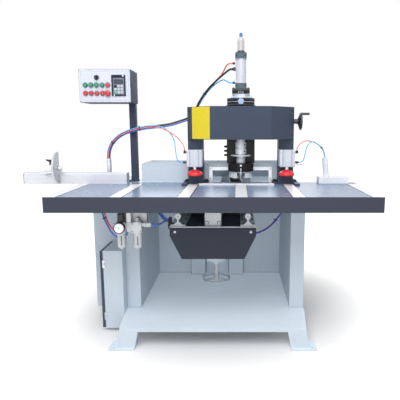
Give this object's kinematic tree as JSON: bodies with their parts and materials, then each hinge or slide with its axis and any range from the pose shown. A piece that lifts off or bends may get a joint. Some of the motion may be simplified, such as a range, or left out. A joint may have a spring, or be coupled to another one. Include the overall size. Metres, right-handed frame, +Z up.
{
  "type": "lock mortising machine",
  "caption": "Lock mortising machine for door leaves: work table, gantry with vertical router head and air clamps, lifting knee with mortising spindle, handwheels, control box on a post.",
  "frame": {"origin": "centre of the footprint of the whole machine, on the floor", "axes": "+X to the operator's right along the table, +Y from the operator towards the back, +Z up"},
  "size_m": [1.916, 1.157, 1.6713],
  "materials": {
    "stand_paint": "satin paint",
    "frame_paint": "satin paint",
    "panel_paint": "light satin paint",
    "table_steel": "ground",
    "black_metal": "black, semi-gloss",
    "aluminium": "anodised",
    "bright_steel": "turned and ground",
    "black_plastic": "moulded",
    "red_plastic": "moulded",
    "green_plastic": "moulded",
    "red_pad": "moulded",
    "clear_plastic": "clear, moulded",
    "hose": "smooth"
  },
  "bodies": {
    "frame": {"base_frame": "stand_paint", "left_side_wall": "stand_paint", "right_side_wall": "stand_paint", "rear_wall": "stand_paint", "left_rear_housing": "stand_paint", "electrical_cabinet": "stand_paint", "table_top": "table_steel", "rear_cabinet": "stand_paint", "rear_cabinet_lid": "stand_paint", "window_frame": "aluminium", "gantry_frame": "frame_paint", "beam_cover": "frame_paint", "left_clamp_cylinder": "aluminium", "right_clamp_cylinder": "aluminium", "control_post": "frame_paint", "control_box": "panel_paint", "fence": "aluminium", "left_conduit": "aluminium", "right_conduit": "panel_paint", "filter_regulator": "aluminium", "pressure_gauge": "black_plastic", "left_hoses": "hose", "right_hoses": "hose", "supply_hoses": "hose", "head_hoses": "hose", "knee_hoses_left": "hose", "knee_hoses_right": "hose"},
    "door": {"cabinet_door": "frame_paint"},
    "green_1": {"green_button_1": "green_plastic"},
    "green_2": {"green_button_2": "green_plastic"},
    "green_3": {"green_button_3": "green_plastic"},
    "green_4": {"green_button_4": "green_plastic"},
    "red_1": {"red_button_1": "red_plastic"},
    "red_2": {"red_button_2": "red_plastic"},
    "red_3": {"red_button_3": "red_plastic"},
    "red_4": {"red_button_4": "red_plastic"},
    "red_5": {"red_button_5": "red_plastic"},
    "mushroom": {"emergency_stop": "red_plastic"},
    "selector": {"selector_switch": "black_plastic"},
    "stop": {"stop_carriage": "aluminium"},
    "flip": {"flip_stop": "aluminium"},
    "wing": {"wing_screw": "black_plastic"},
    "regulator": {"regulator_knob": "black_plastic"},
    "lift_wheel": {"lift_handwheel": "bright_steel"},
    "knee": {"knee_platform": "frame_paint", "left_feed_rail": "bright_steel", "right_feed_rail": "bright_steel", "feed_cylinder": "aluminium"},
    "carriage": {"feed_carriage": "black_metal", "mortise_motor": "aluminium"},
    "cutter": {"mortise_cutter": "bright_steel"},
    "head": {"head_saddle": "black_metal", "head_cylinder": "aluminium"},
    "spindle": {"spindle_carriage": "black_metal", "spindle_sleeve": "bright_steel", "dust_shroud": "clear_plastic"},
    "router": {"router_bit": "bright_steel"},
    "traverse_wheel": {"traverse_handwheel": "black_plastic"},
    "left_pad": {"left_clamp_pad": "red_pad"},
    "right_pad": {"right_clamp_pad": "red_pad"}
  },
  "joints": [
    {"name": "door_hinge", "type": "hinge", "parent": "frame", "child": "door", "pos_m": [-0.4923, -0.1931, 0.252], "axis": [0, 0, 1], "range_deg": [0, 110]},
    {"name": "green_1_press", "type": "slide", "parent": "frame", "child": "green_1", "axis": [0, 1, 0], "range_m": [0, 0.003], "stiffness_N_per_m": 800},
    {"name": "green_2_press", "type": "slide", "parent": "frame", "child": "green_2", "axis": [0, 1, 0], "range_m": [0, 0.003], "stiffness_N_per_m": 800},
    {"name": "green_3_press", "type": "slide", "parent": "frame", "child": "green_3", "axis": [0, 1, 0], "range_m": [0, 0.003], "stiffness_N_per_m": 800},
    {"name": "green_4_press", "type": "slide", "parent": "frame", "child": "green_4", "axis": [0, 1, 0], "range_m": [0, 0.003], "stiffness_N_per_m": 800},
    {"name": "red_1_press", "type": "slide", "parent": "frame", "child": "red_1", "axis": [0, 1, 0], "range_m": [0, 0.003], "stiffness_N_per_m": 800},
    {"name": "red_2_press", "type": "slide", "parent": "frame", "child": "red_2", "axis": [0, 1, 0], "range_m": [0, 0.003], "stiffness_N_per_m": 800},
    {"name": "red_3_press", "type": "slide", "parent": "frame", "child": "red_3", "axis": [0, 1, 0], "range_m": [0, 0.003], "stiffness_N_per_m": 800},
    {"name": "red_4_press", "type": "slide", "parent": "frame", "child": "red_4", "axis": [0, 1, 0], "range_m": [0, 0.003], "stiffness_N_per_m": 800},
    {"name": "red_5_press", "type": "slide", "parent": "frame", "child": "red_5", "axis": [0, 1, 0], "range_m": [0, 0.003], "stiffness_N_per_m": 800},
    {"name": "mushroom_press", "type": "slide", "parent": "frame", "child": "mushroom", "axis": [0, 1, 0], "range_m": [0, 0.0035], "stiffness_N_per_m": 800},
    {"name": "selector_turn", "type": "hinge", "parent": "frame", "child": "selector", "pos_m": [-0.506, -0.0985, 1.442], "axis": [0, 1, 0], "range_deg": [-45, 45]},
    {"name": "stop_slide", "type": "slide", "parent": "frame", "child": "stop", "axis": [1, 0, 0], "range_m": [-0.09, 0.3]},
    {"name": "flip_turn", "type": "hinge", "parent": "stop", "child": "flip", "pos_m": [-0.752, -0.1005, 0.941], "axis": [1, 0, 0], "range_deg": [-90, 0]},
    {"name": "wing_turn", "type": "hinge", "parent": "stop", "child": "wing", "pos_m": [-0.79, -0.1005, 0.97], "axis": [0, 0, 1], "range_deg": [-180, 180]},
    {"name": "regulator_turn", "type": "hinge", "parent": "frame", "child": "regulator", "pos_m": [-0.301, -0.4925, 0.735], "axis": [0, 0, 1], "range_deg": [-150, 150]},
    {"name": "lift_turn", "type": "hinge", "parent": "frame", "child": "lift_wheel", "pos_m": [0.14, 0.0215, 0.252], "axis": [0, 0, 1], "range_deg": [-1081, 361]},
    {"name": "knee_slide", "type": "slide", "parent": "frame", "child": "knee", "axis": [0, 0, 1], "range_m": [-0.03, 0.01], "deforming": ["knee_hoses_left", "knee_hoses_right"]},
    {"name": "feed_slide", "type": "slide", "parent": "knee", "child": "carriage", "axis": [0, -1, 0], "range_m": [0, 0.075]},
    {"name": "cutter_spin", "type": "hinge", "parent": "carriage", "child": "cutter", "pos_m": [0.258, 0.06, 0.895], "axis": [0, 1, 0], "continuous": true},
    {"name": "traverse_turn", "type": "hinge", "parent": "frame", "child": "traverse_wheel", "pos_m": [0.5883, -0.0572, 1.205], "axis": [1, 0, 0], "range_deg": [-1441, 1441]},
    {"name": "head_slide", "type": "slide", "parent": "frame", "child": "head", "axis": [1, 0, 0], "range_m": [-0.032, 0.032], "deforming": ["head_hoses"]},
    {"name": "head_feed", "type": "slide", "parent": "head", "child": "spindle", "axis": [0, 0, 1], "range_m": [0, 0.08]},
    {"name": "router_spin", "type": "hinge", "parent": "spindle", "child": "router", "pos_m": [0.288, -0.1235, 0.9], "axis": [0, 0, 1], "continuous": true},
    {"name": "left_clamp", "type": "slide", "parent": "frame", "child": "left_pad", "axis": [0, 0, -1], "range_m": [0, 0.045]},
    {"name": "right_clamp", "type": "slide", "parent": "frame", "child": "right_pad", "axis": [0, 0, -1], "range_m": [0, 0.045]}
  ],
  "couplings": [
    {"joint": "lift_turn", "follows": "knee_slide", "rad_per_m": 628.32},
    {"joint": "traverse_turn", "follows": "head_slide", "rad_per_m": 785.4}
  ]
}
